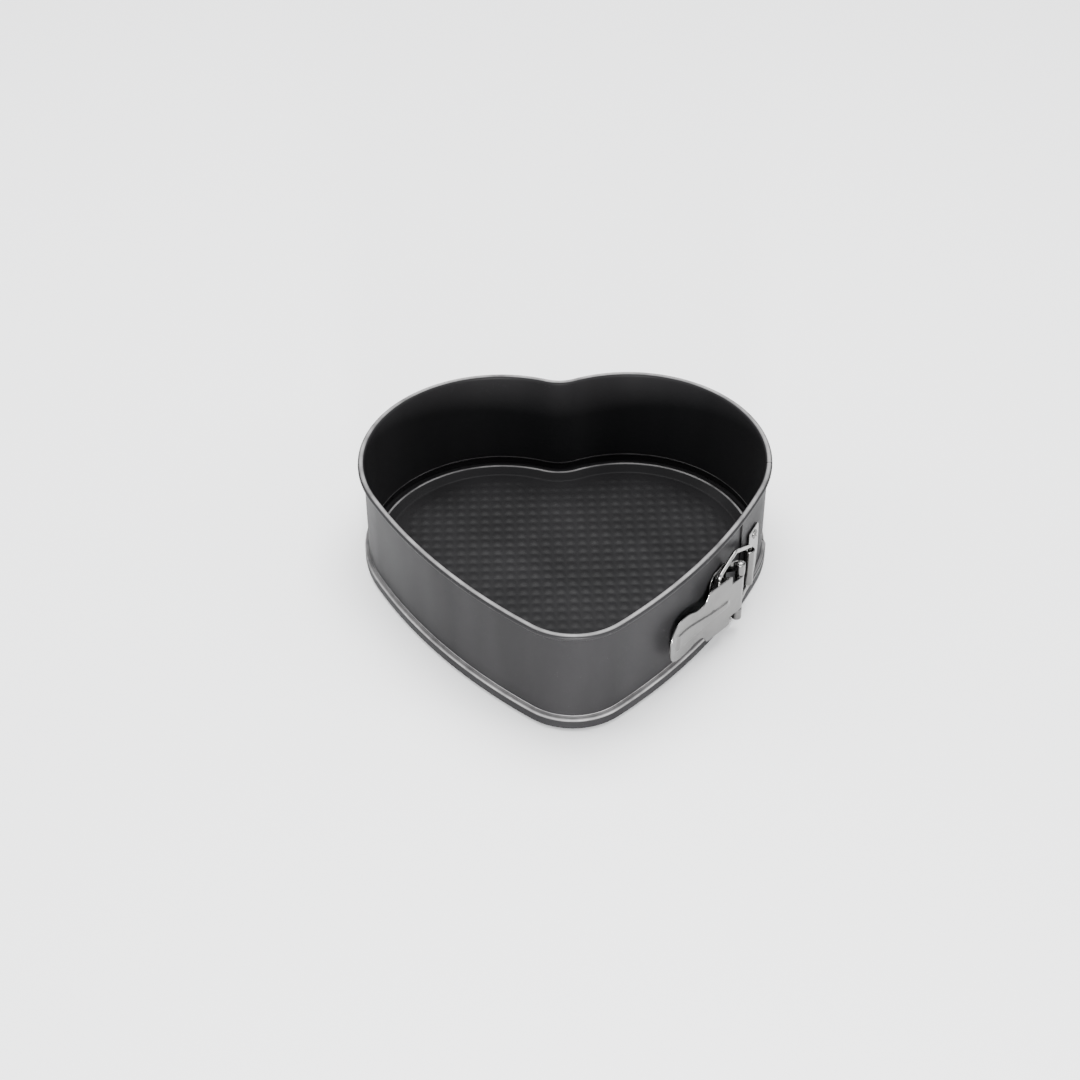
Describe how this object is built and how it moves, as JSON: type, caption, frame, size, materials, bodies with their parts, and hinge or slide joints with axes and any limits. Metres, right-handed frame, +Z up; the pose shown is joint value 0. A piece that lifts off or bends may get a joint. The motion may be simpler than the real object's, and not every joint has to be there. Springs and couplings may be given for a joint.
{
  "type": "springform pan",
  "caption": "Heart-shaped springform cake pan: sprung steel band with an over-centre latch round a loose dimpled base.",
  "frame": {"origin": "on the flat underside of the base plate, midway between the heart's tip and the tops of its lobes", "axes": "+Z up, from the underside to the rim; -Y towards the heart's tip and +Y towards its notch; +X towards the side that carries the latch"},
  "size_m": [0.2362, 0.2322, 0.0695],
  "materials": {
    "coating": "satin non-stick coating on steel",
    "plated": "bright plated, faintly brushed",
    "wire": "bright drawn wire"
  },
  "bodies": {
    "pan": {"base_plate": "coating", "band_main": "coating", "hinge_bracket": "plated", "hinge_pin": "wire", "bracket_rivet_top": "plated", "bracket_rivet_bottom": "plated"},
    "band_end": {"band_spring": "coating", "catch_plate": "plated", "catch_rivet_top": "plated", "catch_rivet_bottom": "plated"},
    "lever": {"latch_lever": "plated"},
    "bail": {"wire_bail": "wire"}
  },
  "joints": [
    {"name": "lever_hinge", "type": "hinge", "parent": "pan", "child": "lever", "pos_m": [0.09374, -0.03828, 0.0292], "axis": [0, 0, 1], "range_deg": [0, 110]},
    {"name": "band_opening", "type": "hinge", "parent": "pan", "child": "band_end", "pos_m": [0, 0.1091, 0.035], "axis": [0, 0, 1], "range_deg": [0, 5.25]},
    {"name": "bail_swing", "type": "hinge", "parent": "band_end", "child": "bail", "pos_m": [0.1015, -0.01798, 0.0292], "axis": [0, 0, 1], "range_deg": [0, 22.23]}
  ],
  "couplings": [
    {"joint": "band_opening", "follows": "lever_hinge", "ratio": 0.04769},
    {"joint": "bail_swing", "follows": "lever_hinge", "ratio": 0.20209}
  ]
}
